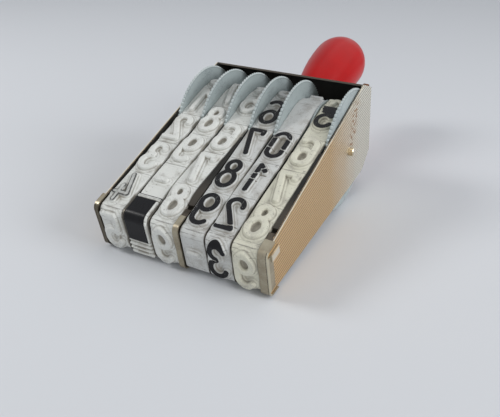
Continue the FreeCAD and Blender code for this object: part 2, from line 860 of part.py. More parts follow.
def build_nodes():
    nodes = {
        "frame": frame(),
        "bridge": bridge(),
        "left_strap": end_strap(-1),
        "centre_strap": centre_strap(),
        "right_strap": end_strap(1),
        "front_guide_plate": guide_plate(-1),
        "rear_guide_plate": guide_plate(1),
        "axle": axle(),
        "left_washer": washer(-inner_x, left_washer_thickness),
        "right_washer": washer(inner_x - right_washer_thickness, right_washer_thickness),
        "corner_rivets": corner_rivets(),
        "handle_stud": handle_stud(),
        "handle_collar": handle_collar(),
        "handle_knob": handle_knob(),
    }
    divider = 0
    for index in range(wheel_count - 1):
        if index != wheel_count // 2 - 1:
            divider += 1
            nodes["band_divider_%d" % divider] = band_divider(index)
    for index in range(wheel_count):
        nodes["wheel_%d" % (index + 1)] = wheel(index)
        nodes["number_band_%d" % (index + 1)] = number_band(index)
    return nodes


def lay_down(nodes):
    """Turn the standing stamp onto its rear, on Z = 0, with its middle over the origin."""
    turn = FreeCAD.Rotation(point(1, 0, 0), -90.0 + axis_rise * 180.0 / pi)
    for shape in nodes.values():
        shape.Placement = FreeCAD.Placement(point(0, 0, 0), turn).multiply(shape.Placement)
    boxes = [shape.optimalBoundingBox(False, False) for shape in nodes.values()]
    y_middle = (min(box.YMin for box in boxes) + max(box.YMax for box in boxes)) / 2
    axle_centre = turn.multVec(point(0, 0, wheel_height))
    floor = axle_centre.z - disc_radius
    for shape in nodes.values():
        shape.translate(point(0, -y_middle, -floor))
    return axle_centre - point(0, y_middle, floor)


def main():
    os.makedirs("parts", exist_ok=True)
    nodes = build_nodes()
    axle_centre = lay_down(nodes)
    for name, shape in nodes.items():
        shape.exportStep("parts/%s.step" % name)
    print("nodes", len(nodes), "axis rise", axis_rise * 180.0 / pi)
    print("axle centre", axle_centre.y, axle_centre.z, "type pitch", type_pitch)
    print("plate gap", plate_gap, "top", top_z, top_half_depth, "shoulder", shoulder())


main()
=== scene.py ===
import json
import math

import bmesh
import bpy
import numpy as np
from mathutils import Matrix, Vector


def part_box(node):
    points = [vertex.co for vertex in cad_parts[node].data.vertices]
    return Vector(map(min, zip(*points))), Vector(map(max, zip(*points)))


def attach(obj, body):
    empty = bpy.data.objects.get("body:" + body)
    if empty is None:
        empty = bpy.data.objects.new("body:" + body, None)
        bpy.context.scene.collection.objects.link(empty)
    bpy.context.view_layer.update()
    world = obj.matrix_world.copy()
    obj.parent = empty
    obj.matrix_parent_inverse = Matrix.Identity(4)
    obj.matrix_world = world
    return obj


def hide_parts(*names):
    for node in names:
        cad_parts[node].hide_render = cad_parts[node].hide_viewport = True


print("loading the packed stamp")
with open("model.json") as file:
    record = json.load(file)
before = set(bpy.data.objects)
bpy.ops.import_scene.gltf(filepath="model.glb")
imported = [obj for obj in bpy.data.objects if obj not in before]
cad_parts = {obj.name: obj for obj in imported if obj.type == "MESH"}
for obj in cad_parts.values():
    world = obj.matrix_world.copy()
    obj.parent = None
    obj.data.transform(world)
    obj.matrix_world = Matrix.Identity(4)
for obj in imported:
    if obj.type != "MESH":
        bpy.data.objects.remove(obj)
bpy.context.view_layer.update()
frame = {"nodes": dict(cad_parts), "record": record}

# The stamp's own millimetres stand it on its print face: x along the axle, y to the rear,
# z towards the handle. It lies tilted back on its wheels, so places are turned to match.
mm = 0.001
loop = {
    "halfDepth": 12.0,    # inner half depth at the bridge
    "bottom": 2.5,
    "corner": 2.4,
    "hub": 24.0,
    "wheelHeight": 108.2,
    "base": 1.6,          # thickness of the bare band
    "type": 2.2,          # how far the characters stand out of it
    "positions": 12,
    "width": 13.7,
    # heights at which a band starts to lean sideways, passes its bow and is in line with its wheel
    "leans": (12.0, 27.0, 72.0),
}
mergeDistance = 0.00002    # metres
axleCentre = Vector(frame["record"]["behaviour"]["joints"][0]["pos_m"])
printAxis = Vector(frame["record"]["mounts"][0]["axis"])
towardHandle = -printAxis.normalized()
towardRear = Vector((0.0, towardHandle.z, -towardHandle.y))
lieAngle = math.atan2(towardHandle.z, towardHandle.y)


def placeOf(x, y, z):
    lifted = z - loop["wheelHeight"]
    return axleCentre + mm * (Vector((x, 0, 0)) + towardRear * y + towardHandle * lifted)


def turned(vector):
    return Vector((vector[0], 0, 0)) + towardRear * vector[1] + towardHandle * vector[2]


# shader maths


class Flow:
    # wraps one socket, so that maths on it reads as a plain expression
    def __init__(self, finish, socket):
        self.finish = finish
        self.socket = socket

    def math(self, operation, *others, clamp=False):
        values = dict(enumerate((self,) + others))
        return self.finish.node("Math", {"operation": operation, "use_clamp": clamp}, values)

    def __add__(self, other):
        return self.math("ADD", other)

    def __sub__(self, other):
        return self.math("SUBTRACT", other)

    def __mul__(self, other):
        return self.math("MULTIPLY", other)

    def __truediv__(self, other):
        return self.math("DIVIDE", other)

    def __rsub__(self, other):
        return self.finish.node("Math", {"operation": "SUBTRACT"}, {0: other, 1: self})

    __radd__ = __add__
    __rmul__ = __mul__

    def __abs__(self):
        return self.math("ABSOLUTE")

    def above(self, limit, softness):
        # 0 below the limit and 1 above it, over a soft edge
        return ((self - limit) / softness + 0.5).math("ADD", 0.0, clamp=True)

    def below(self, limit, softness):
        return 1 - self.above(limit, softness)


def tint(red, green, blue):
    # a colour as seen on screen, made linear
    return [(c / 255 / 12.92 if c / 255 < 0.04 else ((c / 255 + 0.055) / 1.055) ** 2.4)
            for c in (red, green, blue)] + [1.0]


class Finish:
    def __init__(self, name, color, roughness, **uniform):
        self.material = bpy.data.materials.new(name)
        self.material.use_nodes = True
        self.tree = self.material.node_tree
        self.shader = self.tree.nodes["Principled BSDF"]
        self.shader.inputs["Base Color"].default_value = color
        self.shader.inputs["Roughness"].default_value = roughness
        for key, value in uniform.items():
            self.shader.inputs[key.replace("_", " ")].default_value = value

    def plug(self, value, socket):
        if isinstance(value, Flow):
            self.tree.links.new(value.socket, socket)
        else:
            socket.default_value = value

    def node(self, kind, settings, values, output=0):
        made = self.tree.nodes.new("ShaderNode" + kind)
        for key, value in settings.items():
            setattr(made, key, value)
        for key, value in values.items():
            self.plug(value, made.inputs[key])
        return Flow(self, made.outputs[output])

    def shown(self, **sockets):
        for key, value in sockets.items():
            self.plug(value, self.shader.inputs[key.replace("_", " ")])
        return self.material

    def attribute(self, name):
        return self.node("Attribute", {"attribute_name": name}, {}, "Vector")

    def parts(self, vector, wanted="XYZ"):
        return [self.node("SeparateXYZ", {}, {0: vector}, axis) for axis in wanted]

    def mix(self, share, first, second):
        return self.node("Mix", {"data_type": "RGBA"}, {0: share, 6: first, 7: second}, 2)

    def standing(self):
        # the place on the stamp in its own standing millimetres
        place = self.node("TexCoord", {}, {}, "Object")
        turn = math.pi / 2 - lieAngle
        rotate = Matrix.Rotation(turn, 3, "X")
        shift = Vector((0, 0, loop["wheelHeight"])) - rotate @ axleCentre / mm
        return self.node("Mapping", {}, {"Vector": place, "Location": shift,
                                         "Rotation": (turn, 0, 0), "Scale": (1 / mm,) * 3})

    def noise(self, vector, size, detail=3.0, stretch=(1, 1, 1)):
        # size is that of the blotches, in millimetres
        scaled = self.node("VectorMath", {"operation": "MULTIPLY"}, {0: vector, 1: stretch})
        return self.node("TexNoise", {}, {"Vector": scaled, "Scale": 1 / size, "Detail": detail})

    def bump(self, height, depth, strength=1.0):
        # height runs from 0 to 1 and depth is in millimetres
        return self.node("Bump", {}, {"Height": height, "Distance": depth * mm,
                                      "Strength": strength})


# finishes

print("mixing the finishes")

rubberLook = {
    # painted shade in the recesses, mixed with dirt
    "recessShadeAndDirt": tint(138, 133, 122),
    "soil": tint(150, 146, 140),
    "ink": tint(16, 16, 18),
    "inkTones": (tint(14, 14, 16), tint(28, 28, 31)),
    "inkWidth": 1.42,      # half the width of an inked stroke
    "inkEdge": 0.16,
    "outlineAt": 1.15,     # where ink is left along the sides of a wiped stroke
    # painted shade in the creases, also used for the scratches
    "creaseShadeAndScratch": tint(104, 101, 98),
    "creaseWidth": 0.2,
    # distance of each crease line from the middle between two characters, and its strength
    "creaseLines": ((0.1, 1.0), (1.6, 0.4)),
    "bendCreases": (9.6, 11.4, 13.3, 15.6),
}


def rubberFinish(name, tone, soil, turn):
    look = rubberLook
    finish = Finish(name, tone, 0.5, Specular_IOR_Level=0.18)
    place = finish.attribute("bandPlace")
    [travel] = finish.parts(place, "Y")
    distance, inked, cavity = finish.parts(finish.attribute("bandMark"))
    fine = finish.noise(place, 0.5, 4.0)
    blotch = finish.noise(place, 6.0, 3.0)
    streak = finish.noise(place, 1.6, 3.0, (1.0, 0.35, 1.0))

    # painted shade darkens the recesses, with dirt in uneven patches
    shadeAndDirt = (cavity + (blotch - 0.5) * 0.5).above(0.32, 0.5)
    color = finish.mix(shadeAndDirt * 0.85, tone, look["recessShadeAndDirt"])
    patches = (blotch + (fine - 0.5) * 0.5).above(0.66 - soil * 0.14, 0.16)
    color = finish.mix(patches * soil, color, look["soil"])

    # fine cross creases between characters and where the band bends round the bridge, painted as
    # dark lines of shade over a bump, with scratches drawn in the same dark
    phase = finish.node("Math", {"operation": "PINGPONG"}, {0: travel - turn, 1: pitch / 2})
    wobble = (finish.noise(place, 2.2, 2.0) - 0.5) * 1.1
    broken = finish.noise(place, 1.8, 2.0, (0.7, 2.0, 1.0))
    width = look["creaseWidth"]
    creases = 0.0
    for inset, share in look["creaseLines"]:
        line = abs(phase - (pitch / 2 - inset) + wobble * 0.35).below(width * 0.55, width * 0.7)
        creases = line * broken.above(0.40, 0.14) * share + creases
    for offset in look["bendCreases"]:
        line = abs(abs(travel) - offset + wobble).below(width * 0.5, width * 0.7)
        creases = line * broken.above(0.46, 0.12) + creases
    scratch = abs(finish.noise(place, 5.0, 2.0, (1.0, 0.6, 1.0)) - 0.5).below(0.004, 0.006)
    creases = (scratch * broken.above(0.52, 0.1) + creases).math("MINIMUM", 1.0)
    # the creases are painted darker, as shade, and the scratches with them
    color = finish.mix(creases * 0.65, color, look["creaseShadeAndScratch"])

    # ink lies on the tops of the characters, with a crisp but slightly uneven edge
    edge = distance + (fine - 0.5) * 0.22
    printed = edge.below(look["inkWidth"], look["inkEdge"]) * inked.above(0.75, 0.1)
    worn = (fine + (streak - 0.5) * 0.6).above(0.74, 0.08)
    printed = printed * (1 - worn * 0.5)
    wiped = inked.above(0.35, 0.1) * inked.below(0.75, 0.1)
    outlined = abs(edge - look["outlineAt"]).below(0.34, 0.3) * wiped
    smear = edge.below(1.2, 0.4) * wiped
    color = finish.mix(smear * streak * 0.7, color, look["ink"])
    color = finish.mix(outlined * streak.above(0.36, 0.2) * 0.9, color, look["ink"])
    gloss = inked.above(1.5, 0.1)
    dark = printed.math("MAXIMUM", gloss)
    color = finish.mix(dark, color, finish.mix(streak, *look["inkTones"]))

    roughness = 0.46 + fine * 0.12 + shadeAndDirt * 0.1 - dark * 0.06 - gloss * 0.22
    relief = fine * 0.25 + streak * 0.3 - creases * 0.9
    return finish.shown(Base_Color=color, Roughness=roughness,
                        Normal=finish.bump(relief * (1 - gloss), 0.09))


frameLook = {
    "nickel": tint(232, 229, 217),
    # partly a painted reflection of warm surroundings, partly brass showing through worn nickel
    "brassAndWarmReflection": tint(214, 172, 112),
    "cut": tint(222, 214, 196),
    # painted highlight on the front top edge of the frame
    "lighterTone": tint(246, 240, 224),
    # colour of the inner half of a cut edge
    "cutInnerTone": tint(82, 76, 68),
    # painted shade on the inside faces of the frame
    "inside": tint(38, 36, 33),
    "rust": tint(124, 88, 54),
    # painted shade in the knurl's grooves
    "grooveShade": tint(124, 111, 87),
    "knurlPitch": 2.0,
    "crossPitch": 1.4,
    "knurlDepth": 0.45,
    "insideFace": 48.06,   # just past the inner face of a side plate
    "outerHalf": 48.5,     # past these two lies the outer half of a cut edge
    "outerTop": 145.6,
    "topEdge": 144.5,
    "warmSlope": -0.022,   # how the warm tint grows towards the print end
    "warmStart": 2.75,
    # (y, z) of the rust clusters on the right side plate and their radii
    "rustSpots": [(-21.5, 118.0, 6.5), (-11.8, 114.9, 5.5), (-4.2, 111.6, 5.5)],
}


def frameFinish():
    look = frameLook
    finish = Finish("KnurledNickel", look["nickel"], 0.34, Metallic=0.85)
    place = finish.standing()
    x, y, z = finish.parts(place)
    normal = finish.node("TexCoord", {}, {}, "Normal")
    normal = finish.node("Mapping", {}, {"Vector": normal,
                                         "Rotation": (math.pi / 2 - lieAngle, 0, 0)})
    nx, ny, nz = finish.parts(normal)
    side = abs(nx).above(0.6, 0.2)
    insideWall = side * (x * nx).below(0.0, 1.0)
    rim = (1 - side) * abs(x).above(look["insideFace"], 0.05)
    lowRim = (1 - side) * nz.below(-0.7, 0.1) * z.below(141.0, 1.0)
    topRim = (1 - side) * ny.below(-0.7, 0.1) * z.above(look["topEdge"], 0.5)
    cut = rim.math("MAXIMUM", lowRim) * nz.below(0.35, 0.1)
    cut = cut.math("MAXIMUM", topRim)
    insideTop = (1 - side) * nz.below(-0.3, 0.1) * (1 - cut)
    inside = insideWall.math("MAXIMUM", insideTop)

    # rows of small pyramids, with the grooves up the sheet wider than the slanting ones
    along = finish.node("Mix", {"data_type": "FLOAT"}, {0: side, 2: x, 3: z})
    over = finish.node("Mix", {"data_type": "FLOAT"}, {0: side, 2: y + z, 3: y})
    oneWay = abs((over * (math.pi / look["knurlPitch"])).math("SINE"))
    otherWay = abs(((along + over * 0.5) * (math.pi / look["crossPitch"])).math("SINE"))
    pyramids = oneWay * (otherWay * 0.45 + 0.55)
    knurl = pyramids * (1 - cut) * (1 - inside)

    blotch = finish.noise(place, 14.0, 3.0)
    fine = finish.noise(place, 0.7, 3.0)
    # the warm tint towards the print end is partly a painted reflection of warm surroundings and
    # partly brass showing through worn nickel
    warm = z * look["warmSlope"] + look["warmStart"] + (blotch - 0.5) * 0.5
    warm = warm.math("ADD", 0.0, clamp=True)
    color = finish.mix(warm * 0.85, look["nickel"], look["brassAndWarmReflection"])
    # the knurl's grooves are painted darker, as shade
    grooveShade = pyramids.below(0.4, 0.3) * (1 - cut)
    color = finish.mix(grooveShade * 0.75, color, look["grooveShade"])
    rust = 0.0
    for spotY, spotZ, radius in look["rustSpots"]:
        reach = ((y - spotY) * (y - spotY) + (z - spotZ) * (z - spotZ)).math("SQRT")
        rust = reach.below(radius, radius) + rust
    specks = finish.noise(place, 2.0, 2.0).above(0.55, 0.08)
    rusty = (rust * specks).math("MINIMUM", 1.0) * x.above(47.5, 0.5) * side * (1 - inside)
    color = finish.mix(rusty * 0.95, color, look["rust"])
    outer = abs(x).above(look["outerHalf"], 0.35)
    outer = outer.math("MAXIMUM", z.above(look["outerTop"], 0.3))
    # cut edges are painted light on their outer half and dark on their inner half
    color = finish.mix(cut, color, finish.mix(outer, look["cutInnerTone"], look["cut"]))
    # a painted highlight along the front top edge, fading towards the right
    color = finish.mix(topRim * x.below(0.0, 120.0), color, look["lighterTone"])
    # the inside faces are painted dark as shade, and made duller and less metallic
    color = finish.mix(inside, color, look["inside"])
    metal = (0.85 - rusty * 0.8) * (1 - inside * 0.9) * (1 - cut * 0.6 - topRim * 0.4)
    roughness = 0.30 + fine * 0.16 + rusty * 0.4 + inside * 0.4 + cut * 0.2
    return finish.shown(Base_Color=color, Metallic=metal, Roughness=roughness,
                        Normal=finish.bump(knurl, look["knurlDepth"], 0.8))


strapLook = {
    # painted shade in the fold beside the outer flange
    "foldShade": tint(40, 34, 26),
    "foldShadeAt": 49.1,        # distance from the middle of the stamp, as are the next three
    "leftStart": -44.0,
    "flangeStart": 49.3,
    "tabStart": 50.0,
    # painted shade on the left strap's print end
    "left": tint(70, 63, 52),
    # painted highlight on the outer flange
    "flange": tint(206, 200, 178),
    # painted highlight on the folded tabs
    "tab": tint(222, 216, 200),
}


def strapMarks(finish, place, color):
    # the folded tabs and the outer flange carry painted highlights, a line of painted shade runs
    # down in the fold beside the outer flange, and the print end of the left strap is painted dark
    # as shade
    look = strapLook
    x, z = finish.parts(place, "XZ")
    wobble = finish.noise(place, 1.1, 2.0) - 0.5
    foldShade = abs(abs(x) + wobble - look["foldShadeAt"]).below(0.2, 0.25) * z.below(2.0, 0.5)
    left = x.below(look["leftStart"], 0.5) * z.below(1.6, 0.6)
    flange = x.above(look["flangeStart"], 0.2) * z.below(2.0, 0.5)
    # a line of painted shade in the fold beside the outer flange
    color = finish.mix(foldShade * 0.8, color, look["foldShade"])
    # the left strap's print end is painted dark, as shade
    color = finish.mix(left * 0.8, color, look["left"])
    # painted highlight on the outer flange
    color = finish.mix(flange * 0.8, color, look["flange"])
    # painted highlight on the folded tabs
    return finish.mix(abs(x).above(look["tabStart"], 0.2), color, look["tab"])


def metalFinish(name, tone, stain, roughness, metallic=0.9, stained=0.3, marks=None):
    finish = Finish(name, tone, roughness, Metallic=metallic)
    place = finish.standing()
    blotch = finish.noise(place, 8.0, 4.0)
    fine = finish.noise(place, 1.2, 3.0, (1.0, 1.0, 0.3))
    color = finish.mix((blotch + (fine - 0.5) * 0.5).above(0.56, stained), tone, stain)
    if marks:
        color = marks(finish, place, color)
    return finish.shown(Base_Color=color, Roughness=roughness + (fine - 0.5) * 0.2,
                        Normal=finish.bump(fine, 0.03))


wheelLook = {
    "face": tint(164, 174, 174),
    "shade": tint(134, 145, 150),
    "scuff": tint(112, 118, 120),
    # painted shade at the roots of the teeth
    "root": tint(104, 110, 112),
    "rootAt": 34.9,        # radii of the teeth's roots and of where the painted highlight on the teeth starts
    "tooth": tint(190, 199, 200),
    "toothAt": 35.3,
}


def wheelFinish():
    look = wheelLook
    finish = Finish("WheelPlastic", look["face"], 0.42)
    place = finish.standing()
    y, z = finish.parts(place, "YZ")
    lifted = z - loop["wheelHeight"]
    radius = (y * y + lifted * lifted).math("SQRT")
    blotch = finish.noise(place, 9.0, 3.0)
    fine = finish.noise(place, 0.8, 3.0)
    color = finish.mix(blotch * 0.6, look["face"], look["shade"])
    color = finish.mix((fine + blotch).above(1.16, 0.12) * 0.4, color, look["scuff"])
    # the teeth carry a painted highlight, lighter than the face of the disc, with a line of painted
    # shade at their roots
    color = finish.mix(abs(radius - look["rootAt"]).below(0.22, 0.3) * 0.4, color, look["root"])
    color = finish.mix(radius.above(look["toothAt"], 0.2) * 0.75, color, look["tooth"])
    return finish.shown(Base_Color=color, Roughness=0.36 + fine * 0.16,
                        Normal=finish.bump(fine, 0.03))


guideLook = {
    "dark": tint(20, 19, 18),
    "light": tint(44, 42, 39),
    "lighterTone": tint(80, 74, 66),
    "lighterBelow": 34.0,
}


def guideFinish():
    look = guideLook
    finish = Finish("DarkGuide", look["light"], 0.45, Metallic=0.3, Specular_IOR_Level=0.3)
    place = finish.standing()
    [z] = finish.parts(place, "Z")
    blotch = finish.noise(place, 7.0, 4.0)
    fine = finish.noise(place, 0.9, 3.0, (1.0, 1.0, 0.25))
    color = finish.mix(blotch, look["dark"], look["light"])
    # the plate is made lighter towards the print end
    color = finish.mix(z.below(look["lighterBelow"], 14.0) * 0.55, color, look["lighterTone"])
    return finish.shown(Base_Color=color, Roughness=0.4 + fine * 0.2,
                        Normal=finish.bump(fine, 0.04))


lacquerLook = {"deep": tint(156, 2, 4), "light": tint(180, 6, 8)}


def lacquerFinish():
    look = lacquerLook
    finish = Finish("RedLacquer", look["light"], 0.3, Coat_Weight=0.16, Coat_Roughness=0.34,
                    Specular_IOR_Level=0.12)
    place = finish.standing()
    blotch = finish.noise(place, 16.0, 3.0)
    fine = finish.noise(place, 0.9, 3.0)
    color = finish.mix(blotch, look["deep"], look["light"])
    return finish.shown(Base_Color=color, Roughness=0.26 + fine * 0.08,
                        Normal=finish.bump(blotch, 0.05))


# the number bands

cornerY = loop["halfDepth"] - loop["corner"]
cornerZ = loop["bottom"] + loop["corner"]
sideSpan = math.hypot(cornerY, loop["wheelHeight"] - cornerZ)
sideAngle = (math.atan2(loop["wheelHeight"] - cornerZ, cornerY)
             - math.acos((loop["hub"] - loop["corner"]) / sideSpan))
neutral = loop["base"] / 2
sideLength = math.sqrt(sideSpan ** 2 - (loop["hub"] - loop["corner"]) ** 2)
cornerArc = (loop["corner"] + neutral) * (math.pi / 2 - sideAngle)
hubArc = (loop["hub"] + neutral) * (math.pi + 2 * sideAngle)
loopLength = 2 * (cornerY + cornerArc + sideLength) + hubArc
pitch = loopLength / loop["positions"]


def loopPlace(travel, height):
    # travel runs from the middle of the print face, up the rear when positive
    side = np.where(travel >= 0, 1.0, -1.0)
    rest = np.abs(travel)
    foot = (rest, loop["bottom"] - height)
    bendAngle = -np.pi / 2 + (rest - cornerY) / (loop["corner"] + neutral)
    bendRadius = loop["corner"] + height
    bend = (cornerY + bendRadius * np.cos(bendAngle), cornerZ + bendRadius * np.sin(bendAngle))
    up = rest - cornerY - cornerArc
    straight = (cornerY + bendRadius * math.cos(sideAngle) + up * math.sin(sideAngle),
                cornerZ - bendRadius * math.sin(sideAngle) + up * math.cos(sideAngle))
    hubAngle = -sideAngle + (up - sideLength) / (loop["hub"] + neutral)
    hubRadius = loop["hub"] + height
    hub = (hubRadius * np.cos(hubAngle), loop["wheelHeight"] + hubRadius * np.sin(hubAngle))
    zones = [rest <= cornerY, up <= 0, up <= sideLength]
    y = np.select(zones, [foot[0], bend[0], straight[0]], hub[0])
    z = np.select(zones, [foot[1], bend[1], straight[1]], hub[1])
    return side * y, z


def arc(x, y, wide, start, end, tall=None):
    angles = np.radians(np.linspace(start, end, 28))
    return [(x + wide * math.cos(a), y + (tall or wide) * math.sin(a)) for a in angles]


# centre lines of the strokes, in millimetres from the middle of each character
strokes = {
    0: [arc(0, 5.5, 3.9, 0, 180) + arc(0, -5.5, 3.9, 180, 360) + [(3.9, 5.5)]],
    1: [[(1.2, -9.4), (1.2, 9.2), (-2.6, 5.4)]],
    2: [arc(0, 5.5, 3.9, 190, -28) + [(-3.7, -9.4), (3.9, -9.4)]],
    3: [arc(0, 5.4, 3.7, 165, -78, 4.1), arc(0, -4.5, 4.2, 82, -165, 5.0)],
    4: [[(0.8, 9.4), (-3.9, -4.2), (3.9, -4.2)], [(1.6, 1.0), (1.6, -9.4)]],
    5: [[(3.5, 9.4), (-2.8, 9.4), (-3.2, 0.2)] + arc(0, -4.5, 4.2, 128, -155, 5.0)],
    6: [arc(0, -4.4, 4.1, 0, 360, 5.1), [(-4.1, -4.4)] + arc(0, 5.4, 4.1, 180, 35)],
    7: [[(-3.7, 7.0), (-3.7, 9.4), (3.9, 9.4), (-1.2, -9.4)]],
    8: [arc(0, 5.4, 3.3, 0, 360, 4.0), arc(0, -4.0, 4.15, 0, 360, 5.4)],
    9: [arc(0, 4.4, 4.1, 0, 360, 5.1), [(4.1, 4.4)] + arc(0, -5.4, 4.1, 0, -145)],
    10: [[(-2.4, 0), (2.4, 0)]],
    11: [],
}

# closed counters of the characters: middle height, half width and half height
counters = {0: [(0, 3.9, 9.4)], 6: [(-4.4, 4.1, 5.1)], 8: [(5.4, 3.3, 4.0), (-4.0, 4.15, 5.4)],
            9: [(4.4, 4.1, 5.1)]}

reliefShape = {
    "stepAcross": 56,
    "stepAlong": 1320,
    "strokeHalf": 1.2,     # half the flat top of a stroke
    "wall": 0.85,          # width of its steep wall
    "padHeight": 0.6,      # the step that the wall stands on, and where it ends
    "padStart": 2.5,
    "padEnd": 3.4,
    "edgeRound": 0.35,
    "crackHalf": 0.2,
    "crackDepth": 0.8,
    "blurRounds": 22,
    "glossInk": 3.0,       # ink this high is a glossy black face, not a print
    "far": 20.0,           # distance given to places with no stroke near
    "sideGap": 0.3,        # from the middle of a wheel to the middle of its band
}

# set and turn: the character at the print face and how far the band is off it; footX and bow:
# where the band runs across the stamp. Steps are 0 at the print face and counted up the front:
# inked, those with ink left on; shifts, how far a character sits off its pitch; blocks, raised
# patches beside it; blots, ink past its strokes; cracks, breaks in its ink. Along the band,
# patch is the black patch, plain has no character, and ribs and fineRibs are cross ribs.
bandSettings = [
    {"set": 5, "turn": 0.0, "footX": -40.1, "bow": 0.0, "tone": "white", "inked": {1: 0.5},
     "blocks": {0: (-6.7, 2.8, -10.6, 12.0, 0.75)}},
    {"set": 11, "turn": -11.5, "footX": -24.1, "bow": -0.7, "tone": "white", "inked": {},
     "patch": (-23.5, 2.5), "plain": (2.5, 26.0), "ribs": (2.8, 25.5, 2.75, 1.5),
     "fineRibs": (-62.0, -27.5, 2.1, 0.12)},
    {"set": 9, "turn": 0.0, "footX": -8.7, "bow": -1.9, "tone": "white", "inked": {},
     "shifts": {4: 7.0, 1: 1.0}},
    {"set": 10, "turn": 0.0, "footX": 8.9, "bow": -0.2, "tone": "grey",
     "inked": {1: 1, 2: 1, 3: 1, 4: 1}},
    {"set": 3, "turn": -1.5, "footX": 23.2, "bow": -0.9, "tone": "grey",
     "inked": {0: 1, 1: 1, 2: 1, 3: 1},
     "cracks": {3: [(-6, 4.2, -1, 6.4), (6, 4.6, 1, 6.2), (-6, -3.6, -1, -2.6), (6, -2.4, 1, -3.6)],
                2: [(-4.0, 3.4, 4.4, 2.6), (-1.0, -1.6, 4.0, -1.2), (-3.0, 8.4, -0.4, 6.2)],
                1: [(-5.6, -6.8, 4.0, -8.2)],
                0: [(5.4, 0.6, 0.8, 0.1)]}},
    {"set": 9, "turn": 0.0, "footX": 37.5, "bow": -0.1, "tone": "cream", "inked": {4: 1},
     "blots": {4: [(-2.8, 3.4, 7.6), (-2.8, 3.2, 5.4), (-2.8, 2.6, 3.2)]},
     "shifts": {4: 5.5, 3: 1.5, 1: 1.8}},
]


def lineDistance(x, y, x0, y0, x1, y1):
    dx, dy = x1 - x0, y1 - y0
    share = ((x - x0) * dx + (y - y0) * dy) / (dx * dx + dy * dy + 1e-9)
    share = np.clip(share, 0, 1)
    return np.hypot(x - x0 - share * dx, y - y0 - share * dy)


def strokeDistance(across, up, character):
    nearest = np.full(across.shape, reliefShape["far"])
    for line in strokes[character]:
        for start, end in zip(line, line[1:]):
            nearest = np.minimum(nearest, lineDistance(across, up, *start, *end))
    return nearest


def inCounter(across, up, character):
    inside = np.zeros(across.shape, bool)
    for middle, wide, tall in counters.get(character, []):
        inside |= np.hypot(across / wide, (up - middle) / tall) < 1
    return inside


def ramp(value, start, end):
    share = np.clip((value - start) / (end - start), 0, 1)
    return share * share * (3 - 2 * share)


def within(value, low, high, soft):
    # 1 between low and high, falling to 0 at them over a soft edge
    return ramp(value, low, low + soft) * (1 - ramp(value, high - soft, high))


def bandRelief(settings, across, travel):
    # height above the inner surface, distance to the strokes and ink for each grid point
    shape = reliefShape
    distance = np.full(across.shape, shape["far"])
    ink = np.zeros(across.shape)
    cut = np.zeros(across.shape)
    hole = np.zeros(across.shape, bool)
    step = np.round((travel - settings["turn"]) / pitch).astype(int)
    for number in np.unique(step):
        here = step == number
        character = (settings["set"] + number) % loop["positions"]
        u = -across[here]
        v = -(travel[here] - settings["turn"] - number * pitch)
        v = v - settings.get("shifts", {}).get(-number, 0)
        distance[here] = strokeDistance(u, v, character)
        hole[here] = inCounter(u, v, character)
        for x0, x1, y in settings.get("blots", {}).get(-number, []):
            distance[here] = np.minimum(distance[here], lineDistance(u, v, x0, y, x1, y))
        ink[here] = settings["inked"].get(-number, 0)
        for crack in settings.get("cracks", {}).get(-number, []):
            off = lineDistance(u, v, *crack)
            split = 1 - ramp(off, shape["crackHalf"], 2 * shape["crackHalf"])
            cut[here] = np.maximum(cut[here], split)
    if "plain" in settings:
        low, high = settings["plain"]
        distance = np.where((travel > low) & (travel < high), shape["far"], distance)
    pad = np.where(hole, 0.0, 1 - ramp(distance, shape["padStart"], shape["padEnd"]))
    block = np.zeros(across.shape)
    for number, (left, right, low, high, rise) in settings.get("blocks", {}).items():
        middle = settings["turn"] - number * pitch
        along = within(travel, middle + low, middle + high, 0.5)
        block = block + rise * along * within(across, left, right, 0.4)
    wall = np.where(hole, 1.5 * shape["wall"], shape["wall"])
    body = 1 - ramp(distance, shape["strokeHalf"], shape["strokeHalf"] + wall)
    ground = loop["base"] + shape["padHeight"] * pad + block
    height = ground + (loop["base"] + loop["type"] - ground) * body
    height -= cut * shape["crackDepth"]
    distance = distance + cut * 3

    if "patch" in settings:
        low, high = settings["patch"]
        inside = within(travel, low - 0.2, high + 0.2, 0.4) * (1 - ramp(across, 5.3, 5.7))
        height = height * (1 - inside) + (loop["base"] + 1.1) * inside
        rim = ramp(across, 5.5, 5.9) * within(travel, low, high + 1, 1)
        height = height + rim * 1.3 * (1 - inside)
        height = height + within(travel, low - 2.2, low - 0.2, 0.3) * 0.9
        line = np.abs(travel - low + 2.5) < 0.28
        ink = np.where((inside > 0.5) | line, shape["glossInk"], ink)
    for key in ("ribs", "fineRibs"):
        if key in settings:
            low, high, spacing, depth = settings[key]
            zone = within(travel, low - 0.5, high + 0.5, 1.0)
            wave = 0.5 + 0.5 * np.cos((travel - low) / spacing * 2 * np.pi)
            height = height + zone * wave * depth
    edge = np.clip((np.abs(across) - loop["width"] / 2 + 0.55) / 0.55, 0, 1)
    height -= shape["edgeRound"] * edge ** 2
    return np.minimum(height, loop["base"] + loop["type"]), distance, ink, hole


def blurred(field, rounds):
    for step in range(rounds):
        wide = np.pad(field, ((1, 1), (0, 0)), mode="wrap")
        field = (wide[:-2] + wide[1:-1] + wide[2:]) / 3
        wide = np.pad(field, ((0, 0), (1, 1)), mode="edge")
        field = (wide[:, :-2] + wide[:, 1:-1] + wide[:, 2:]) / 3
    return field


def pickNothing():
    bpy.ops.object.select_all(action="DESELECT")


def pickAlone(piece):
    pickNothing()
    piece.select_set(True)
    bpy.context.view_layer.objects.active = piece


def acrossShift(settings, wheelX, z):
    # sideways place of the band's middle line at a height
    foot = settings["footX"]
    start, bend, end = loop["leans"]
    share = (bend - start) / (end - start)
    middle = foot + (wheelX - foot) * share + settings["bow"]
    low = foot + (middle - foot) * ramp(z, start, bend)
    return low + (wheelX - middle) * ramp(z, bend, end)


